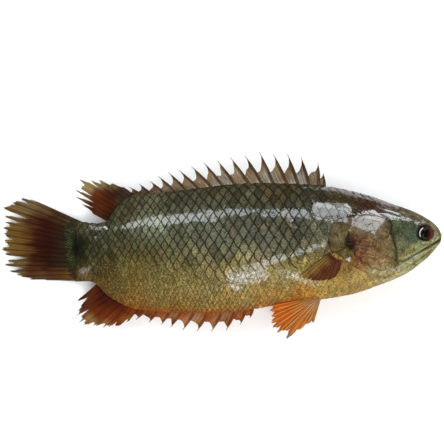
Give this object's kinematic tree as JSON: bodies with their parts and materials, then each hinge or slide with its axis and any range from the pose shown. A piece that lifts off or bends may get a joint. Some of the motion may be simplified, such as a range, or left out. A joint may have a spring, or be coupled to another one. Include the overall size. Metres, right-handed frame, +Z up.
{
  "type": "climbing perch",
  "caption": "Whole climbing perch lying on its left side: deep scaled body, notched spiny dorsal and anal fins, fan-shaped tail fin, paired fins, gill covers and eyes.",
  "frame": {"origin": "centre of the fish's bounding box, at the height of the table it lies on", "axes": "+X towards the snout, +Y towards the back and the dorsal fin, +Z up, out of the right flank"},
  "size_m": [0.1802, 0.0768, 0.0265],
  "materials": {
    "skin": "wet grey-green scales, olive-brown along the back and golden along the belly",
    "gill_cover": "wet brown and olive skin over bone",
    "brown_fin": "damp translucent web between brown spines, dark red-brown at the rear",
    "red_fin": "damp translucent web between rays, deep red-brown with paler edges",
    "orange_fin": "damp translucent bright orange web between pale rays",
    "eye": "clear glossy cornea over a black pupil and a dark red-brown iris"
  },
  "bodies": {
    "root": {"body": "skin", "dorsal_fin": "brown_fin", "anal_fin": "red_fin", "tail_fin": "red_fin", "gill_cover_right": "gill_cover", "gill_cover_left": "gill_cover", "pectoral_fin_right": "red_fin", "pectoral_fin_left": "red_fin", "pelvic_fin_right": "orange_fin", "pelvic_fin_left": "orange_fin", "eye_right": "eye", "eye_left": "eye"}
  },
  "joints": []
}
